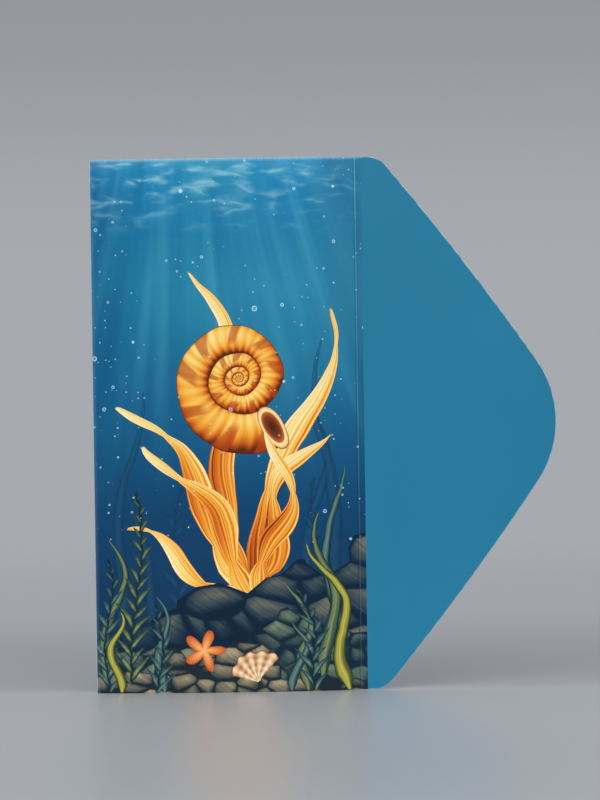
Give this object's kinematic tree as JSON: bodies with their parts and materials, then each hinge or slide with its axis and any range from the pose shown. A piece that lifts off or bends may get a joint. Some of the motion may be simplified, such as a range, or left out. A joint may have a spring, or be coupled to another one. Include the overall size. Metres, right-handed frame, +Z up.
{
  "type": "money envelope",
  "caption": "Tall card envelope for banknotes: a bowed, glued pocket with folded ends, a mouth along its long side and a tapered, round-tipped flap on a crease.",
  "frame": {"origin": "on the table, under the centre of the whole envelope's box with the flap open", "axes": "+Z up along the long side, -Y out of the printed front, +X towards the flap"},
  "size_m": [0.1432, 0.0116, 0.165],
  "materials": {
    "printed_front": "satin",
    "plain_blue": "satin",
    "bare_card": "matte",
    "dry_glue": "satin"
  },
  "bodies": {
    "pocket": {"front_panel": "printed_front", "back_panel": "plain_blue", "spine_fold": "printed_front", "top_fold": "printed_front", "bottom_fold": "printed_front", "top_tab": "bare_card", "bottom_tab": "bare_card", "top_glue": "dry_glue", "bottom_glue": "dry_glue", "flap_crease": "printed_front"},
    "flap": {"flap": "plain_blue"}
  },
  "joints": [
    {"name": "flap_fold", "type": "hinge", "parent": "pocket", "child": "flap", "pos_m": [0.01024, 0.00292, 0.0825], "axis": [0, 0, 1], "range_deg": [-3, 180]}
  ]
}
